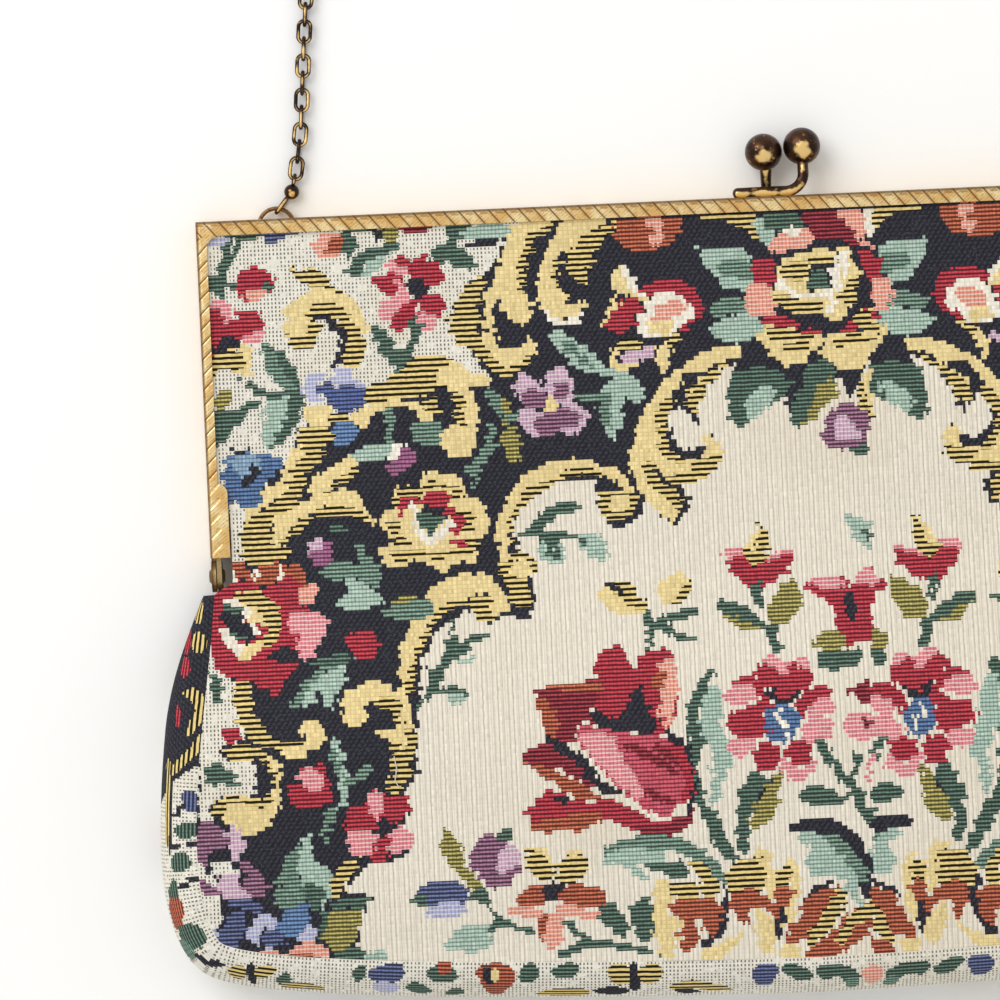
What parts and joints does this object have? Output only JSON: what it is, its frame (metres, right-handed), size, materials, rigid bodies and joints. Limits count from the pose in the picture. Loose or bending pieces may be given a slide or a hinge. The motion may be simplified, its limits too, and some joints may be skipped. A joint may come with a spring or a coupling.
{
  "type": "tapestry clutch purse",
  "caption": "Flat woven clutch purse with a stamped metal frame hinged at the arm ends, a ball clasp on the top rail, a cloth gusset and a hand chain, lying shut on its back.",
  "frame": {"origin": "on the table, midway between the sides and midway between the bottom of the bag and the top of the clasp", "axes": "+X along the top rail to the right as seen from the front, +Y from the bottom of the bag up to the clasp, +Z out of the front panel, up from the table"},
  "size_m": [0.2474, 0.2839, 0.0208],
  "materials": {
    "gilt_frame": "worn gilt, stamped",
    "worn_bronze": "dark bronze patina worn to gold",
    "tapestry": "ribbed jacquard tapestry",
    "lining": "plain woven lining"
  },
  "bodies": {
    "bag_body": {"rear_frame": "gilt_frame", "hinge_pin_left": "gilt_frame", "hinge_pin_right": "gilt_frame", "rear_clasp": "worn_bronze", "bail_left": "gilt_frame", "bail_right": "gilt_frame", "chain_end_left": "worn_bronze", "chain_end_right": "worn_bronze", "chain": "worn_bronze", "front_panel_lower": "tapestry", "back_panel": "tapestry", "gusset": "tapestry", "lining_front_lower": "lining", "lining_back": "lining", "lining_gusset": "lining"},
    "front_half": {"front_frame": "gilt_frame", "front_clasp": "worn_bronze", "front_panel_upper": "tapestry", "lining_front_upper": "lining"}
  },
  "joints": [
    {"name": "frame_hinge", "type": "hinge", "parent": "bag_body", "child": "front_half", "pos_m": [0, 0.00172, 0.0043], "axis": [1, 0, 0], "range_deg": [0, 55]}
  ]
}
